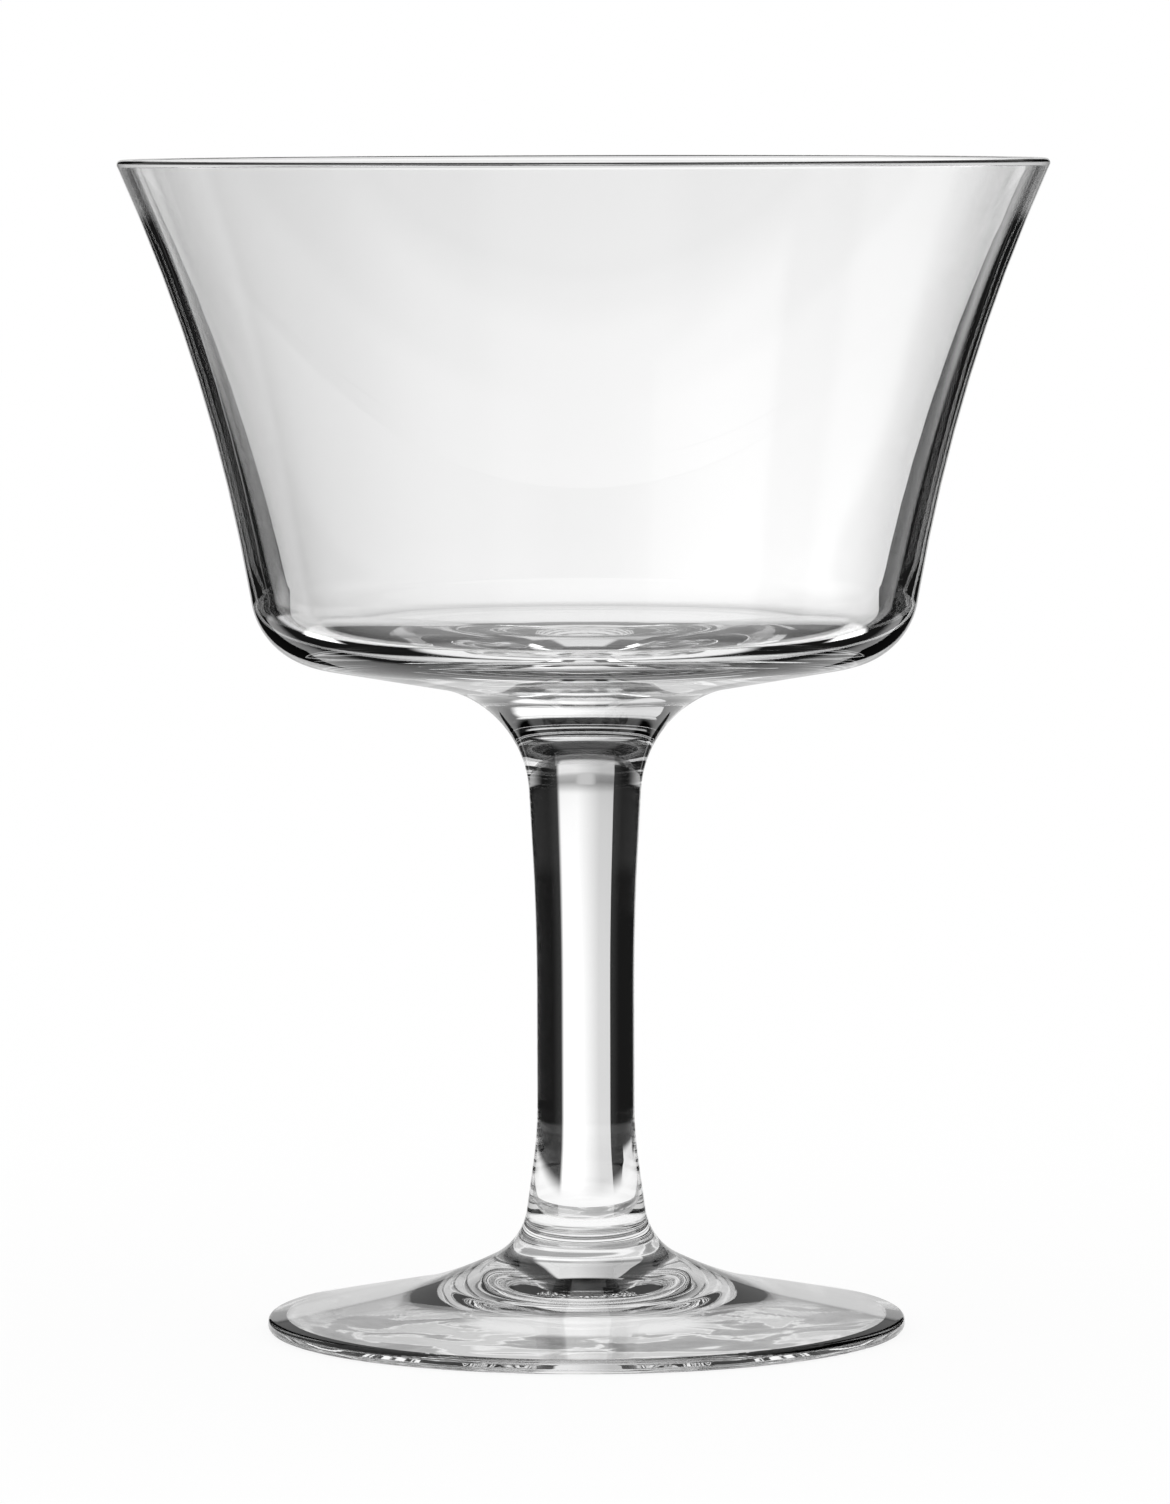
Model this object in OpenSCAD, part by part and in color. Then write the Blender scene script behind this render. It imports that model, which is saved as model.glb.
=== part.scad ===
// Coupe glass: a thin flared bowl with a heavy base, a solid stem and a round foot.
// The pieces are made hot and fused on flat discs, so they share one turned section,
// which is cut at the two joints. Millimetres, +Z up, origin under the middle of the foot.

/* [Heights] */
// Height of the foot, from the table to its joint with the stem
foot_h = 9; // [7:0.5:12]
// Length of the stem between its two joints
stem_h = 52; // [38:1:90]
// Height of the bowl, from its joint with the stem to the rim
bowl_h = 59; // [50:1:75]

/* [Bowl] */
// Outer diameter at the rim
rim_d = 95; // [86:1:106]
// Glass thickness at the rim
rim_t = 1.1; // [0.8:0.1:1.8]
// Outer diameter at the bend between the lower wall and the flare
bend_d = 76; // [70:0.5:82]
// Drop from the rim to the bend
bend_drop = 21.9; // [16:0.1:27]
// Glass thickness at the bend
bend_t = 1.2; // [0.8:0.1:2]
// Radius of the sweep that joins the lower wall to the flare
sweep_r = 180; // [100:5:240]
// Outer diameter at the corner of the heel
heel_d = 66.2; // [60:0.2:70]
// Height of the corner of the heel above the stem joint
heel_rise = 8.3; // [7:0.1:10]
// Radius of the heel outside
heel_r = 8; // [4:0.1:9]
// Glass thickness at the corner of the heel
heel_t = 2.1; // [1.4:0.1:3.5]
// Height of the drinking side of the base above the stem joint
floor_rise = 10.1; // [8.6:0.1:12]
// Radius of the heel inside
floor_r = 5; // [3:0.1:9]

/* [Stem] */
// Diameter of the stem at its waist
stem_d = 10; // [8:0.1:12]
// Diameter at the corner of the neck, under the bowl
neck_d = 12.5; // [12.2:0.1:16]
// Height of the corner of the neck above the bowl's joint
neck_rise = 3.6; // [2.5:0.1:5]
// Radius of the neck
neck_r = 11.5; // [6:0.1:14]
// Height above the foot's joint where the stem starts to widen towards the bowl
taper_rise = 33; // [24:0.5:38]
// Radius of the bend into the upper taper
taper_r = 250; // [60:10:400]
// Height above the foot's joint where the stem starts to widen towards the foot
ankle_rise = 11.2; // [8:0.1:16]
// Radius of the bend into the lower taper
ankle_r = 43; // [15:1:70]

/* [Foot] */
// Outer diameter of the foot
foot_d = 65.5; // [56:0.5:76]
// Thickness of the foot at its rounded edge
edge_t = 1.4; // [1.3:0.1:2.2]
// Radius on the two corners of the edge
edge_r = 0.62; // [0.3:0.01:0.65]
// Diameter at the corner where the stem meets the foot
hub_d = 13.1; // [12.2:0.1:16]
// Radius of the sweep from the stem into the foot
hub_r = 6.4; // [3:0.1:8]
// Diameter at the bend where the slope of the foot grows flatter
crown_d = 30; // [24:0.5:38]
// Height of the foot at that bend
crown_h = 4.8; // [3.6:0.1:6]
// Radius of that bend
crown_r = 42; // [15:1:60]
// Width of the flat ring that stands on the table
ring_w = 1.6; // [0.8:0.1:4]
// Depth of the hollow under the foot
hollow_h = 3.6; // [1:0.1:4.2]
// Diameter of the level middle of the hollow
hollow_d = 24; // [10:0.5:40]
// Radius of the bend between the middle of the hollow and its slope
hollow_r = 40; // [20:5:200]

/* [Hidden] */
$fn = 240;

// Radius of the fire-polished lip, as a share of the glass at the rim
lip_share = 0.45;
// How far a cut or a fill goes past its corner, as a share of its depth there
past_share = 0.1;
// Clear glass, with the faint grey it shows against white
glass_color = [0.88, 0.91, 0.92, 0.45];

bowl_z = foot_h + stem_h;
rim_z = bowl_z + bowl_h;
bend_z = rim_z - bend_drop;
lip_r = lip_share * rim_t;
flare_angle = atan((rim_d - bend_d) / 2 / bend_drop);
// What rounding the lip takes off the sharp corner of the rim, added to keep the diameter
lip_spread = lip_r * (tan(flare_angle) + 1 / cos(flare_angle) - 1);
ring_d = foot_d - 2 * (edge_r + ring_w);

// Corners of the turned section as radius, height and rounding, starting on the axis
// inside the bowl, over the rim, down the outside and back to the axis under the foot
drink_side = [
    [0, bowl_z + floor_rise, 0],
    [heel_d / 2 - heel_t, bowl_z + floor_rise, floor_r],
    [bend_d / 2 - bend_t, bend_z, sweep_r],
    [rim_d / 2 + lip_spread - rim_t, rim_z, lip_r]
];
bowl_side = [
    [rim_d / 2 + lip_spread, rim_z, lip_r],
    [bend_d / 2, bend_z, sweep_r],
    [heel_d / 2, bowl_z + heel_rise, heel_r]
];
stem_side = [
    [neck_d / 2, bowl_z + neck_rise, neck_r],
    [stem_d / 2, foot_h + taper_rise, taper_r],
    [stem_d / 2, foot_h + ankle_rise, ankle_r],
    [hub_d / 2, foot_h, hub_r]
];
foot_side = [
    [crown_d / 2, crown_h, crown_r],
    [foot_d / 2, edge_t, edge_r],
    [foot_d / 2, 0, edge_r]
];
under_side = [
    [ring_d / 2, 0, 0],
    [hollow_d / 2, hollow_h, hollow_r],
    [0, hollow_h, 0]
];
corners = concat(drink_side, bowl_side, stem_side, foot_side, under_side);

function spot(i) = let (c = corners[(i + len(corners)) % len(corners)]) [c[0], c[1]];
function rounding(i) = corners[(i + len(corners)) % len(corners)][2];
function way(from, to) = (to - from) / norm(to - from);
function turn(i) = cross(way(spot(i - 1), spot(i)), way(spot(i), spot(i + 1)));
function opening(i) = acos(way(spot(i), spot(i - 1)) * way(spot(i), spot(i + 1)));

// Length of side that a rounding takes up on each side of its corner
function taken(i) = rounding(i) == 0 ? 0 : rounding(i) / tan(opening(i) / 2);
// Two roundings that share a side too short for both shrink alike until they fit
function room(i, j) = norm(spot(j) - spot(i)) / (taken(i) + taken(j));
function fitted(i) = rounding(i) * min(1, room(i - 1, i), room(i, i + 1));

// What lies between a corner and the arc that rounds it, and a little past the corner
module corner_gap(i) {
    r = fitted(i);
    back = way(spot(i), spot(i - 1));
    ahead = way(spot(i), spot(i + 1));
    inward = way([0, 0], back + ahead);
    reach = r / tan(opening(i) / 2);
    centre_off = r / sin(opening(i) / 2);
    tip = spot(i) - past_share * (centre_off - r) * inward;
    difference() {
        polygon([tip, spot(i) + reach * back, spot(i) + reach * ahead]);
        translate(spot(i) + centre_off * inward)
            circle(r);
    }
}

// The section from the axis outwards: convex corners are cut round, hollow ones filled
module glass_section() {
    rounded = [for (i = [0 : len(corners) - 1]) if (rounding(i) > 0) i];
    difference() {
        union() {
            polygon([for (i = [0 : len(corners) - 1]) spot(i)]);
            for (i = rounded) if (turn(i) > 0) corner_gap(i);
        }
        for (i = rounded) if (turn(i) < 0) corner_gap(i);
    }
}

// A turned piece: the part of the section between two heights
module turned(from_z, to_z) {
    color(glass_color)
        rotate_extrude()
            intersection() {
                glass_section();
                translate([0, from_z])
                    square([rim_d + foot_d, to_z - from_z]);
            }
}

module bowl() {
    turned(bowl_z, rim_z);
}

module stem() {
    turned(foot_h, bowl_z);
}

module foot() {
    turned(0, foot_h);
}

bowl();
stem();
foot();
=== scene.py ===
import bpy
from math import acos, atan, ceil, cos, degrees, pi, radians, sin, tan
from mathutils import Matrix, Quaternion, Vector


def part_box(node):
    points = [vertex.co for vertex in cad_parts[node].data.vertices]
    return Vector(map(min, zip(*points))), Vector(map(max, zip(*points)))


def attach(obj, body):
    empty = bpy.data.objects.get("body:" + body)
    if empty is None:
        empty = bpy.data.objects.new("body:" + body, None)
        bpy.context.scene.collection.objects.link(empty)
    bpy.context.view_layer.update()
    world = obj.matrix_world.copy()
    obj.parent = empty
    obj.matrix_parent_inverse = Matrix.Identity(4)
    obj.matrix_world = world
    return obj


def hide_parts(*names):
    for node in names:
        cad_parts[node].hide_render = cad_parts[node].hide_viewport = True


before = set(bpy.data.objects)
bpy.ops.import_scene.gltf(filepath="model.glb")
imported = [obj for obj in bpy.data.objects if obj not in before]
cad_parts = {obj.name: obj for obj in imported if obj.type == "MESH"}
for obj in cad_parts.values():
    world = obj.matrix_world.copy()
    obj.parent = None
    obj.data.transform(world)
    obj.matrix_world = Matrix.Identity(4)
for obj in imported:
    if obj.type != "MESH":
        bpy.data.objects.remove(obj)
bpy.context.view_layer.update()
mm = 0.001  # sizes below are in millimetres, the scene is in metres

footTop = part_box("foot")[1].z / mm   # joint of the foot and the stem
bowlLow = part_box("bowl")[0].z / mm   # joint of the stem and the bowl
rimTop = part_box("bowl")[1].z / mm
print("frame: joints at", round(footTop, 2), round(bowlLow, 2), "rim at", round(rimTop, 2))


# Camera

view = {
    "distance": 870,      # from the axis of the glass
    "height": 127,        # a little above the rim
    "aim": 59.4,          # height of the point in the middle of the frame
    "sensor": 36,
    "lens": 204,
    "farEnd": 50000,      # nothing beyond it is drawn
    "roll": -0.15,        # degrees, the glass leans this little in the frame
}


def placeCamera():
    data = bpy.data.cameras.new("camera")
    data.sensor_width = view["sensor"]
    data.lens = view["lens"]
    data.clip_end = view["farEnd"] * mm
    camera = bpy.data.objects.new("camera", data)
    bpy.context.scene.collection.objects.link(camera)
    place = Vector((0, -view["distance"], view["height"])) * mm
    aim = Vector((0, 0, view["aim"])) * mm
    camera.location = place
    turn = (aim - place).to_track_quat("-Z", "Y")
    camera.rotation_euler = (turn @ Quaternion((0, 0, 1), radians(view["roll"]))).to_euler()
    bpy.context.scene.camera = camera


placeCamera()
print("camera: set at the photograph's angle")


# The turned section, as corners of radius, height and rounding

bowlSizes = {
    "rimRadius": 47.5,
    "rimGlass": 1.1,
    "lipShare": 0.45,       # rounding of the lip, as a share of the glass there
    "bendRadius": 38,
    "bendDrop": 21.9,       # from the rim to the bend of the flare
    "bendGlass": 1.2,
    "sweep": 180,
    "heelRadius": 33.1,
    "heelRise": 8.3,        # above the stem joint
    "heelRound": 8,
    "heelGlass": 2.1,
    "floorRise": 10.1,      # drinking side of the base above the stem joint
    "floorRound": 5,
}
stemSizes = {
    "waistRadius": 5,
    "neckRadius": 6.25,
    "neckRise": 3.6,        # above the bowl joint
    "neckRound": 11.5,
    "taperRise": 33,        # above the foot joint
    "taperRound": 250,
    "ankleRise": 11.2,
    "ankleRound": 43,
}
footSizes = {
    "radius": 32.75,
    "edgeGlass": 1.4,
    "edgeRound": 0.62,
    "hubRadius": 6.55,
    "hubRound": 6.4,
    "crownRadius": 15,
    "crownHeight": 4.8,
    "crownRound": 42,
    "ringWidth": 1.6,       # flat ring that stands on the table
    "hollowRadius": 12,
    "hollowHeight": 3.6,
    "hollowRound": 40,
}
turning = {
    "steps": 240,           # round the axis
    "arcStep": 3,           # degrees of a rounding that one edge spans
    "leastSteps": 8,
    "weld": 0.0005,         # points closer than this become one
    "cutGap": 0.0001,       # points this close to a cut lie on it
    "jointGap": 0.001,      # level faces this close to a joint are its disc
    "levelShare": 0.99,     # least upward part of the normal of a level face
    "creaseAngle": 6,       # degrees, below the corner of the ring under the foot
}


def glassCorners():  # from the axis inside the bowl, over the rim, to the axis under the foot
    b, s, f = bowlSizes, stemSizes, footSizes
    bendZ = rimTop - b["bendDrop"]
    floorZ = bowlLow + b["floorRise"]
    lip = b["lipShare"] * b["rimGlass"]
    flare = atan((b["rimRadius"] - b["bendRadius"]) / b["bendDrop"])
    rim = b["rimRadius"] + lip * (tan(flare) + 1 / cos(flare) - 1)  # rounding the lip takes the rest off
    ring = f["radius"] - f["edgeRound"] - f["ringWidth"]
    return [
        (0, floorZ, 0),
        (b["heelRadius"] - b["heelGlass"], floorZ, b["floorRound"]),
        (b["bendRadius"] - b["bendGlass"], bendZ, b["sweep"]),
        (rim - b["rimGlass"], rimTop, lip),
        (rim, rimTop, lip),
        (b["bendRadius"], bendZ, b["sweep"]),
        (b["heelRadius"], bowlLow + b["heelRise"], b["heelRound"]),
        (s["neckRadius"], bowlLow + s["neckRise"], s["neckRound"]),
        (s["waistRadius"], footTop + s["taperRise"], s["taperRound"]),
        (s["waistRadius"], footTop + s["ankleRise"], s["ankleRound"]),
        (f["hubRadius"], footTop, f["hubRound"]),
        (f["crownRadius"], f["crownHeight"], f["crownRound"]),
        (f["radius"], f["edgeGlass"], f["edgeRound"]),
        (f["radius"], 0, f["edgeRound"]),
        (ring, 0, 0),
        (f["hollowRadius"], f["hollowHeight"], f["hollowRound"]),
        (0, f["hollowHeight"], 0),
    ]


def toPlane(radius, height):  # the section is drawn in the XZ plane
    return Vector((radius, 0, height)) * mm


def startDrawing(point):  # a new object in edit mode, with one selected point
    bpy.ops.object.select_all(action="DESELECT")
    bpy.ops.mesh.primitive_plane_add(size=mm, location=point)
    bpy.ops.object.transform_apply(location=True, rotation=True, scale=True)
    bpy.ops.object.mode_set(mode="EDIT")
    bpy.ops.mesh.select_mode(type="VERT")
    bpy.ops.mesh.select_all(action="SELECT")
    bpy.ops.mesh.merge(type="CENTER")  # the plane shrinks to the point
    return bpy.context.object


def drawingEnd():
    mesh = bpy.context.edit_object.data
    bpy.context.edit_object.update_from_editmode()
    return next(v.co.copy() for v in mesh.vertices if v.select)


def lineTo(point):  # one straight edge from the end of the drawing
    end = drawingEnd()
    bpy.ops.mesh.extrude_region_move(TRANSFORM_OT_translate={"value": point - end})


def arcTo(centre, turn):  # a rounding, spun from the end of the drawing
    steps = max(turning["leastSteps"], ceil(degrees(abs(turn)) / turning["arcStep"]))
    bpy.ops.mesh.spin(steps=steps, angle=turn, center=centre, axis=(0, 1, 0))


def drawSection(corners):  # lines and spun roundings, from axis to axis
    points = [toPlane(r, z) for r, z, _ in corners]
    blank = startDrawing(points[0])
    for i in range(1, len(corners)):
        rounding = corners[i][2] * mm
        if rounding == 0:
            lineTo(points[i])
            continue
        back = (points[i - 1] - points[i]).normalized()
        ahead = (points[i + 1] - points[i]).normalized()
        opening = acos(back.dot(ahead))
        centre = points[i] + (back + ahead).normalized() * rounding / sin(opening / 2)
        side = 1 if back.cross(ahead).y > 0 else -1
        lineTo(points[i] + back * rounding / tan(opening / 2))
        arcTo(centre, side * (pi - opening))
    return blank


def turnBlank():  # the whole glass in one piece, before it is parted at its joints
    blank = drawSection(glassCorners())
    bpy.ops.mesh.select_all(action="SELECT")
    bpy.ops.mesh.spin(steps=turning["steps"], angle=2 * pi, center=(0, 0, 0), axis=(0, 0, 1))
    bpy.ops.mesh.select_all(action="SELECT")
    bpy.ops.mesh.remove_doubles(threshold=turning["weld"] * mm)
    bpy.ops.mesh.select_all(action="SELECT")
    bpy.ops.mesh.normals_make_consistent(inside=False)
    bpy.ops.object.mode_set(mode="OBJECT")
    return blank


def selectOnly(piece):
    bpy.ops.object.select_all(action="DESELECT")
    piece.select_set(True)
    bpy.context.view_layer.objects.active = piece


def cutAt(height, keepUpper):  # parts the glass on a level plane and closes it with a disc
    bpy.ops.mesh.select_all(action="SELECT")
    bpy.ops.mesh.bisect(
        plane_co=(0, 0, height * mm),
        plane_no=(0, 0, 1),
        use_fill=True,
        clear_inner=keepUpper,
        clear_outer=not keepUpper,
        threshold=turning["cutGap"] * mm,
    )


def partedPiece(blank, name, low, high, materials):  # materials: of the glass, of its joints
    selectOnly(blank)
    bpy.ops.object.duplicate()
    piece = bpy.context.object
    piece.name = name
    piece.data.name = name
    bpy.ops.object.mode_set(mode="EDIT")
    if low is not None:
        cutAt(low, True)
    if high is not None:
        cutAt(high, False)
    bpy.ops.object.mode_set(mode="OBJECT")
    for material in materials:
        piece.data.materials.append(material)
    jointHeights = [h * mm for h in (low, high) if h is not None]
    for face in piece.data.polygons:
        onJoint = any(abs(face.center.z - h) < turning["jointGap"] * mm for h in jointHeights)
        isLevel = abs(face.normal.z) > turning["levelShare"]
        face.material_index = 1 if onJoint and isLevel else 0
    selectOnly(piece)
    bpy.ops.object.shade_smooth_by_angle(angle=radians(turning["creaseAngle"]))
    return piece


# Shader nodes

def feed(tree, socket, value):  # a constant, or the output of another node
    if isinstance(value, bpy.types.NodeSocket):
        tree.links.new(value, socket)
    else:
        socket.default_value = value


def mathNode(tree, operation, *values):
    node = tree.nodes.new("ShaderNodeMath")
    node.operation = operation
    for socket, value in zip(node.inputs, values):
        feed(tree, socket, value)
    return node.outputs[0]


def vectorNode(tree, operation, *values):
    node = tree.nodes.new("ShaderNodeVectorMath")
    node.operation = operation
    for socket, value in zip(node.inputs, values):
        feed(tree, socket, value)
    isNumber = operation in ("DOT_PRODUCT", "LENGTH")
    return node.outputs["Value" if isNumber else "Vector"]


def ramp(tree, value, low, high):  # 0 below low, 1 above high, smooth between
    node = tree.nodes.new("ShaderNodeMapRange")
    node.interpolation_type = "SMOOTHSTEP"
    tree.links.new(value, node.inputs["Value"])
    node.inputs["From Min"].default_value = low
    node.inputs["From Max"].default_value = high
    return node.outputs["Result"]


def softStep(tree, value, middle, soft):  # 0 below the middle, 1 above it
    return ramp(tree, value, middle - soft, middle + soft)


def levelRamp(tree, value, stops):  # each stop is a value from 0 to 1 and a brightness
    node = tree.nodes.new("ShaderNodeValToRGB")
    tree.links.new(value, node.inputs["Fac"])
    elements = node.color_ramp.elements
    while len(elements) < len(stops):
        elements.new(1)
    for element, (place, level) in zip(elements, stops):
        element.position = place
        element.color = (level, level, level, 1)
    return node.outputs["Color"]


def mixValues(tree, share, first, second):
    node = tree.nodes.new("ShaderNodeMix")
    node.data_type = "FLOAT"
    for name, value in (("Factor", share), ("A", first), ("B", second)):
        feed(tree, node.inputs[name], value)
    return node.outputs["Result"]


def mixShaders(tree, share, first, second):
    node = tree.nodes.new("ShaderNodeMixShader")
    for socket, value in zip(node.inputs, (share, first, second)):
        feed(tree, socket, value)
    return node.outputs[0]


def whiteGlow(tree, strength):
    node = tree.nodes.new("ShaderNodeEmission")
    feed(tree, node.inputs["Strength"], strength)
    return node.outputs[0]


def heightOf(tree, place):
    split = tree.nodes.new("ShaderNodeSeparateXYZ")
    tree.links.new(place, split.inputs[0])
    return split.outputs["Z"]


def principled(name):
    material = bpy.data.materials.new(name)
    material.use_nodes = True
    return material, material.node_tree.nodes["Principled BSDF"]


def emptyMaterial(name):
    material = bpy.data.materials.new(name)
    material.use_nodes = True
    material.node_tree.nodes.clear()
    return material, material.node_tree


# Glass

glassLook = {
    "color": (0.997, 0.997, 0.997, 1),
    "ior": 1.52,
    "roughness": 0.0,
    "waveScale": 70,        # waves of the hand-made surface, per metre
    "waveDetail": 1,
    "waveHeight": 0.0015,
    "footWaves": 30,        # how many times higher the waves of the foot are
    "footLow": 3,           # below this height they are full
    "footHigh": 8,          # above it they are faint
    "paintedGlowDepth": 7,       # painted glow: after this many bounces inside the rim, the glass gives off a plain grey light
    "paintedGlowGrey": 0.75,
    "paintedGlowLow": 113,       # the painted glow starts above this height
    "paintedGlowHigh": 115,      # and is full above this one
}


def surfaceWaves(tree, place, height):
    noise = tree.nodes.new("ShaderNodeTexNoise")
    noise.inputs["Scale"].default_value = glassLook["waveScale"]
    noise.inputs["Detail"].default_value = glassLook["waveDetail"]
    tree.links.new(place, noise.inputs["Vector"])
    aboveFoot = ramp(tree, height, glassLook["footLow"] * mm, glassLook["footHigh"] * mm)
    times = mixValues(tree, aboveFoot, glassLook["footWaves"], 1)
    bump = tree.nodes.new("ShaderNodeBump")
    bump.inputs["Distance"].default_value = glassLook["waveHeight"] * mm
    tree.links.new(mathNode(tree, "MULTIPLY", noise.outputs[0], times), bump.inputs["Height"])
    return bump.outputs[0]


# painted glow: near the rim the glass emits a plain grey to rays that have bounced inside it this many
# times
def paintedRimGlow(tree, height):
    rays = tree.nodes.new("ShaderNodeLightPath")
    halfStep = 0.5  # depths are whole numbers
    caught = mathNode(tree, "COMPARE", rays.outputs["Ray Depth"], glassLook["paintedGlowDepth"], halfStep)
    nearRim = ramp(tree, height, glassLook["paintedGlowLow"] * mm, glassLook["paintedGlowHigh"] * mm)
    grey = mathNode(tree, "MULTIPLY", nearRim, glassLook["paintedGlowGrey"])
    return mathNode(tree, "MULTIPLY", caught, grey)


def clearGlass():
    material, shader = principled("clearGlass")
    shader.inputs["Base Color"].default_value = glassLook["color"]
    shader.inputs["Roughness"].default_value = glassLook["roughness"]
    shader.inputs["IOR"].default_value = glassLook["ior"]
    shader.inputs["Transmission Weight"].default_value = 1
    shader.inputs["Emission Color"].default_value = (1, 1, 1, 1)
    tree = material.node_tree
    place = tree.nodes.new("ShaderNodeTexCoord").outputs["Object"]
    height = heightOf(tree, place)
    tree.links.new(surfaceWaves(tree, place, height), shader.inputs["Normal"])
    # the emission is a painted grey glow near the rim, standing in for light caught inside the glass
    tree.links.new(paintedRimGlow(tree, height), shader.inputs["Emission Strength"])
    return material


def fusedJoint():  # the discs where the pieces are fused show nothing
    material, shader = principled("fusedJoint")
    shader.inputs["Alpha"].default_value = 0
    return material


materials = [clearGlass(), fusedJoint()]
blank = turnBlank()
print("section: turned,", len(blank.data.vertices), "points")
bowl = partedPiece(blank, "glassBowl", bowlLow, None, materials)
stem = partedPiece(blank, "glassStem", footTop, bowlLow, materials)
foot = partedPiece(blank, "glassFoot", None, footTop, materials)
bpy.data.objects.remove(blank)
for piece, node in ((bowl, "bowl"), (stem, "stem"), (foot, "foot")):
    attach(piece, "root")
    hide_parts(node)
    print("piece:", piece.name, len(piece.data.polygons), "faces")


# Studio: a white floor, and a surround that is white to the camera and dark with bright panels to the glass

studio = {
    "floorRadius": 3000,
    "floorCorners": 128,
    "floorGap": 0.05,         # under the foot, so that the two surfaces never coincide
    "shadowShare": 0.12,      # how much of the floor's white is paint that takes a shadow
    "tableRadius": 50,        # beyond it the glass sees past the floor to the panels
    "tableSoft": 5,
    "tableGlow": 1,           # brightness of the floor as the glass sees it
    "streakInner": 12,        # painted streaks of light and shade lie on the floor's glow under the foot, between these radii
    "innerSoft": 2,
    "streakOuter": 33,
    "outerSoft": 1,
    "streakAcross": 150,      # how fine they are across, per metre
    "streakAlong": 2.2,       # and round the axis
    "streakDetail": 3,
    "streakBend": 1,
    # levels of the painted streaks of light and shade under the foot
    "paintedStreaks": ((0.33, 0.3), (0.46, 0.45), (0.49, 0.95), (0.51, 1), (0.55, 0.68), (0.7, 0.75)),
    "dark": 0.01,             # brightness of the surround between the panels, and of the cards
    "panelEdge": 0.02,        # softness of a panel's upper and lower edge, as a share of the radius
    "mirrorBounces": 12,      # for light that is mirrored on inside the glass
}
through = {  # what the glass shows through itself; degrees, with azimuth from behind it towards +X
    "back": {"azimuth": -4, "half": 24, "soft": 2, "low": -24, "high": 42, "level": 1, "graded": True},
    "lowBack": {"azimuth": 0, "half": 11, "soft": 2, "low": -39, "high": -23, "level": 0.85},
    "lowLeft": {"azimuth": -46, "half": 9, "soft": 2, "low": -90, "high": -28, "level": 2},
    "lowRight": {"azimuth": 46, "half": 9, "soft": 2, "low": -90, "high": -28, "level": 2},
    "heelLeft": {"azimuth": -33, "half": 5, "soft": 1, "low": -37, "high": -28, "level": 2},
    "heelRight": {"azimuth": 33, "half": 5, "soft": 1, "low": -37, "high": -28, "level": 2},
    "farRight": {"azimuth": 76, "half": 14, "soft": 4, "low": -40, "high": -22, "level": 0.7},
    "lowFront": {"azimuth": 180, "half": 30, "soft": 10, "low": -90, "high": -27, "level": 0.6},
    "leftWing": {"azimuth": -105, "half": 45, "soft": 25, "low": 6, "high": 26, "level": 0.7},
    "rightWing": {"azimuth": 105, "half": 45, "soft": 25, "low": 6, "high": 26, "level": 0.7},
    "overBack": {"azimuth": 0, "half": 6, "soft": 5, "low": 3.5, "high": 14, "level": 0.55},
    "side": {"azimuth": -90, "half": 16, "soft": 4, "low": -12, "high": 8, "level": 0.9},
    "farSide": {"azimuth": 135, "half": 22, "soft": 3, "low": -42, "high": -9, "level": 1},
    "quarter": {"azimuth": -46, "half": 14, "soft": 3, "low": -34, "high": -16, "level": 0.85},
}
mirrored = {  # what its surfaces mirror
    "back": {"azimuth": 0, "half": 38, "soft": 4, "low": -90, "high": -12, "level": 1},
    "middle": {"azimuth": 0, "half": 24, "soft": 4, "low": -13, "high": 11, "level": 0.7},
    "upper": {"azimuth": 0, "half": 40, "soft": 4, "low": 11, "high": 40, "level": 0.3},
    "front": {"azimuth": 180, "half": 65, "soft": 25, "low": -40, "high": 40, "level": 0.9},
    "left": {"azimuth": -80, "half": 30, "soft": 15, "low": 0, "high": 40, "level": 0.5},
    "top": {"azimuth": 0, "half": 180, "soft": 0, "low": 40, "high": 90, "level": 0.5},
}
grade = {  # how the graded panel changes with elevation in degrees, and across the view
    "levels": (
        (-24, 0.6), (-16, 1), (-8, 1.04), (-4, 0.98), (-1, 0.9),
        (2, 0.55), (6, 0.3), (11, 0.4), (14, 0.7), (38, 0.7),
    ),
    "span": 60,
    "toRight": 1.6,
    "least": 0.7,
    "most": 1.15,
}
cards = {  # black cards beside the view, seen only by the glass; ends as X and Y
    "left": ((-81, 211), (-146, 200)),
    "right": ((81, 211), (146, 200)),
    "low": -60,
    "high": 200,
}


def panelLight(tree, heading, height, panel):  # how bright a panel is along a direction
    light = panel["level"]
    if panel["half"] < 180:
        middle = radians(panel["azimuth"])
        toward = vectorNode(tree, "DOT_PRODUCT", heading, (sin(middle), cos(middle), 0))
        outer = radians(panel["half"] + panel["soft"])
        inner = radians(panel["half"] - panel["soft"])
        light = mathNode(tree, "MULTIPLY", light, ramp(tree, toward, cos(outer), cos(inner)))
    if panel["low"] > -90:
        above = softStep(tree, height, sin(radians(panel["low"])), studio["panelEdge"])
        light = mathNode(tree, "MULTIPLY", light, above)
    if panel["high"] < 90:
        past = softStep(tree, height, sin(radians(panel["high"])), studio["panelEdge"])
        light = mathNode(tree, "MULTIPLY", light, mathNode(tree, "SUBTRACT", 1, past))
    return light


def gradedLevel(tree, sideways, height):  # how bright the graded panel is along a direction
    span = grade["span"]
    elevation = mathNode(tree, "MULTIPLY", mathNode(tree, "ARCSINE", height), degrees(1))
    place = mathNode(tree, "MULTIPLY_ADD", elevation, 0.5 / span, 0.5)
    stops = [(0.5 + 0.5 * angle / span, level) for angle, level in grade["levels"]]
    across = mathNode(tree, "MULTIPLY_ADD", sideways, grade["toRight"], 1)
    across = mathNode(tree, "MINIMUM", mathNode(tree, "MAXIMUM", across, grade["least"]), grade["most"])
    return mathNode(tree, "MULTIPLY", levelRamp(tree, place, stops), across)


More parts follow.
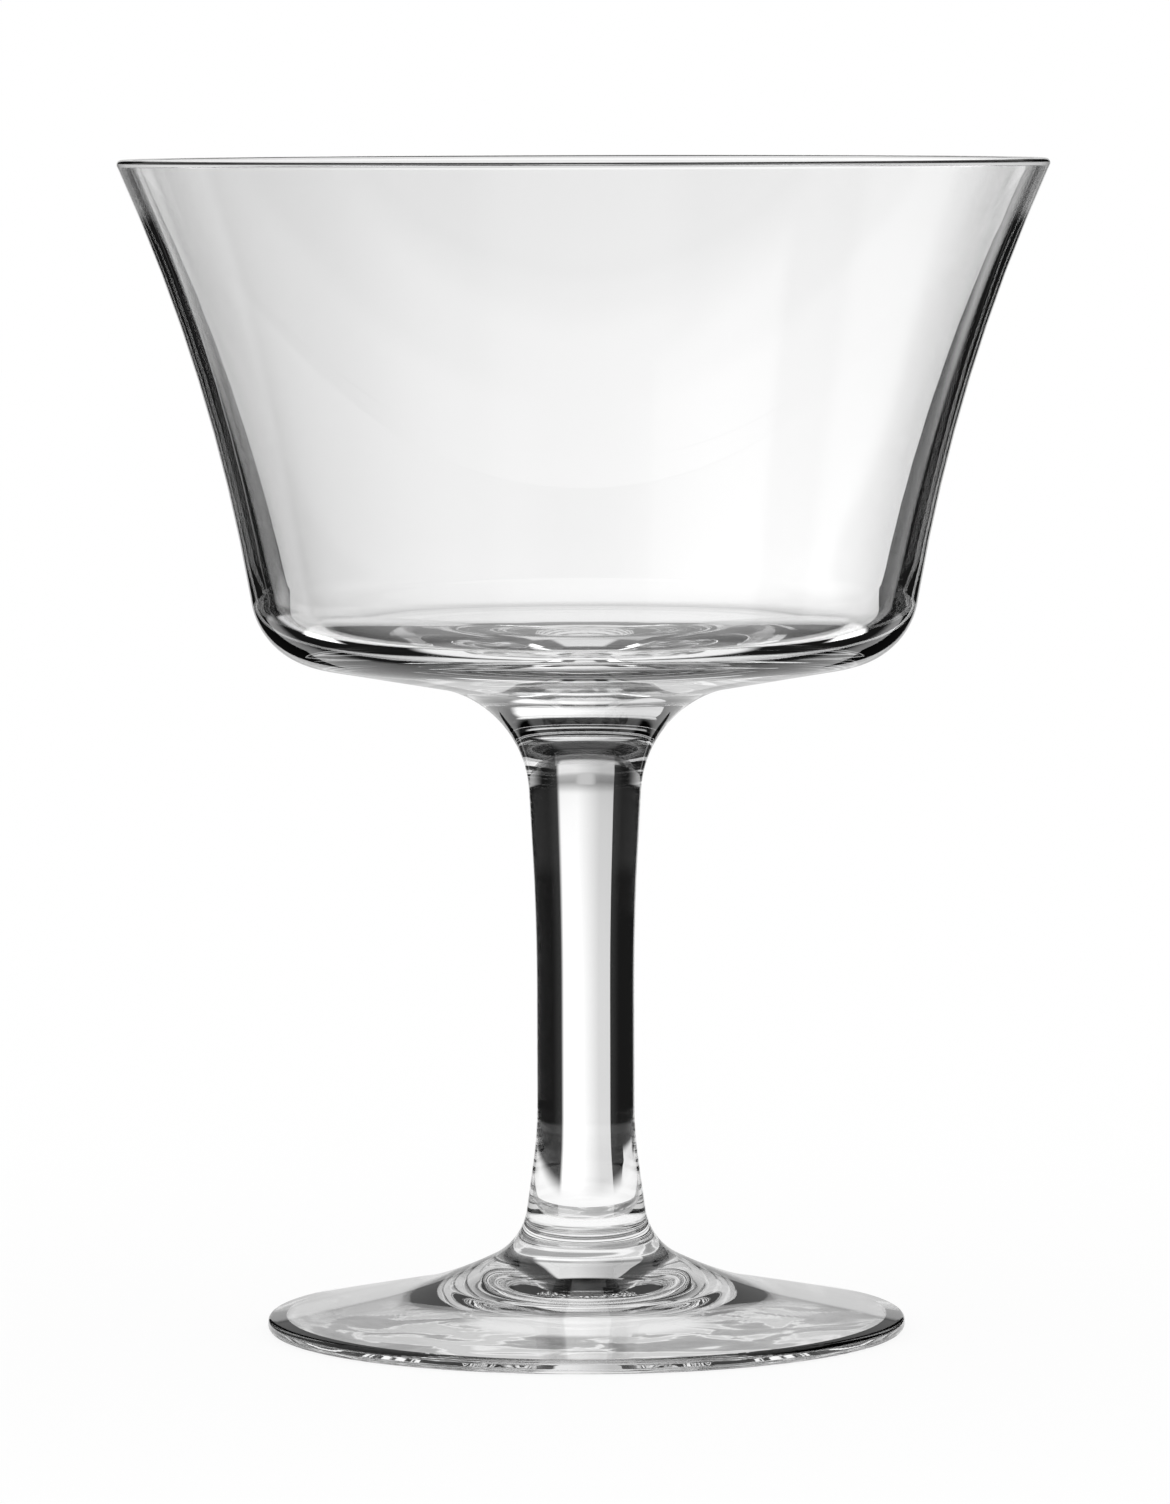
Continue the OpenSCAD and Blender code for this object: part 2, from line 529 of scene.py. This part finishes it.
def litBy(tree, panels, heading, height, graded):  # the brightest panel along a direction
    light = studio["dark"]
    for panel in panels.values():
        shown = panelLight(tree, heading, height, panel)
        if panel.get("graded"):
            shown = mathNode(tree, "MULTIPLY", shown, graded)
        light = mathNode(tree, "MAXIMUM", light, shown)
    return light


def seenByGlass(tree):  # 1 for what the glass mirrors or shows through itself, else 0
    rays = tree.nodes.new("ShaderNodeLightPath")
    return mathNode(tree, "MAXIMUM", rays.outputs["Is Transmission Ray"], rays.outputs["Is Glossy Ray"])


def surround():
    world = bpy.data.worlds.new("surround")
    bpy.context.scene.world = world
    world.use_nodes = True
    tree = world.node_tree
    tree.nodes.clear()
    direction = tree.nodes.new("ShaderNodeTexCoord").outputs["Generated"]
    heading = vectorNode(tree, "NORMALIZE", vectorNode(tree, "MULTIPLY", direction, (1, 1, 0)))
    sideways = vectorNode(tree, "DOT_PRODUCT", direction, (1, 0, 0))
    height = heightOf(tree, direction)
    graded = gradedLevel(tree, sideways, height)
    mirroredLight = litBy(tree, mirrored, heading, height, graded)
    throughLight = litBy(tree, through, heading, height, graded)
    rays = tree.nodes.new("ShaderNodeLightPath")
    glassView = mixValues(tree, rays.outputs["Is Transmission Ray"], mirroredLight, throughLight)
    seen = mixValues(tree, seenByGlass(tree), 1, glassView)
    glow = tree.nodes.new("ShaderNodeBackground")
    glow.inputs["Color"].default_value = (1, 1, 1, 1)
    tree.links.new(seen, glow.inputs["Strength"])
    tree.links.new(glow.outputs[0], tree.nodes.new("ShaderNodeOutputWorld").inputs["Surface"])


def paintedStreaks(tree, spot, radius):  # glow of the floor, with painted streaks of light and shade under the foot, standing in for light that the foot bends
    around = vectorNode(tree, "NORMALIZE", spot)
    along = vectorNode(tree, "MULTIPLY", around, [studio["streakAlong"]] * 3)
    across = tree.nodes.new("ShaderNodeCombineXYZ")
    tree.links.new(mathNode(tree, "MULTIPLY", radius, studio["streakAcross"]), across.inputs["Z"])
    noise = tree.nodes.new("ShaderNodeTexNoise")
    noise.inputs["Scale"].default_value = 1
    noise.inputs["Detail"].default_value = studio["streakDetail"]
    noise.inputs["Distortion"].default_value = studio["streakBend"]
    tree.links.new(vectorNode(tree, "ADD", along, across.outputs[0]), noise.inputs["Vector"])
    lit = levelRamp(tree, noise.outputs[0], studio["paintedStreaks"])
    pastInner = softStep(tree, radius, studio["streakInner"] * mm, studio["innerSoft"] * mm)
    pastOuter = softStep(tree, radius, studio["streakOuter"] * mm, studio["outerSoft"] * mm)
    between = mathNode(tree, "MULTIPLY", pastInner, mathNode(tree, "SUBTRACT", 1, pastOuter))
    return mathNode(tree, "MULTIPLY", mixValues(tree, between, 1, lit), studio["tableGlow"])


def floorLook():
    material, tree = emptyMaterial("whiteFloor")
    spot = tree.nodes.new("ShaderNodeTexCoord").outputs["Object"]
    radius = vectorNode(tree, "LENGTH", spot)
    paint = tree.nodes.new("ShaderNodeBsdfDiffuse")
    paint.inputs["Color"].default_value = (1, 1, 1, 1)
    clear = tree.nodes.new("ShaderNodeBsdfTransparent")
    pastTable = softStep(tree, radius, studio["tableRadius"] * mm, studio["tableSoft"] * mm)
    # inside the table radius the glass sees the floor's glow with painted streaks of light and shade under
    # the foot
    table = mixShaders(tree, pastTable, whiteGlow(tree, paintedStreaks(tree, spot, radius)), clear.outputs[0])
    plain = mixShaders(tree, studio["shadowShare"], whiteGlow(tree, 1), paint.outputs[0])
    seen = mixShaders(tree, seenByGlass(tree), plain, table)
    tree.links.new(seen, tree.nodes.new("ShaderNodeOutputMaterial").inputs["Surface"])
    return material


def layFloor():
    bpy.ops.object.select_all(action="DESELECT")
    bpy.ops.mesh.primitive_circle_add(
        vertices=studio["floorCorners"],
        radius=studio["floorRadius"] * mm,
        fill_type="NGON",
    )
    floor = bpy.context.object
    floor.name = "floor"
    floor.location.z = -studio["floorGap"] * mm
    floor.data.materials.append(floorLook())


def blackCard():
    material, tree = emptyMaterial("blackCard")
    output = tree.nodes.new("ShaderNodeOutputMaterial")
    tree.links.new(whiteGlow(tree, studio["dark"]), output.inputs["Surface"])
    return material


def hideCard(card):  # only the glass sees it
    card.visible_camera = False
    card.visible_diffuse = False
    card.visible_shadow = False


def hangCards():
    black = blackCard()
    rise = Vector((0, 0, cards["high"] - cards["low"])) * mm
    for side in ("left", "right"):
        start, end = (Vector((x, y, cards["low"])) * mm for x, y in cards[side])
        card = startDrawing(start)
        lineTo(end)
        bpy.ops.mesh.select_all(action="SELECT")
        bpy.ops.mesh.extrude_region_move(TRANSFORM_OT_translate={"value": rise})
        bpy.ops.object.mode_set(mode="OBJECT")
        card.name = side + "Card"
        card.data.materials.append(black)
        hideCard(card)


surround()
layFloor()
hangCards()
bpy.context.scene.view_settings.view_transform = "Standard"
bpy.context.scene.cycles.glossy_bounces = studio["mirrorBounces"]
print("studio: floor and surround")
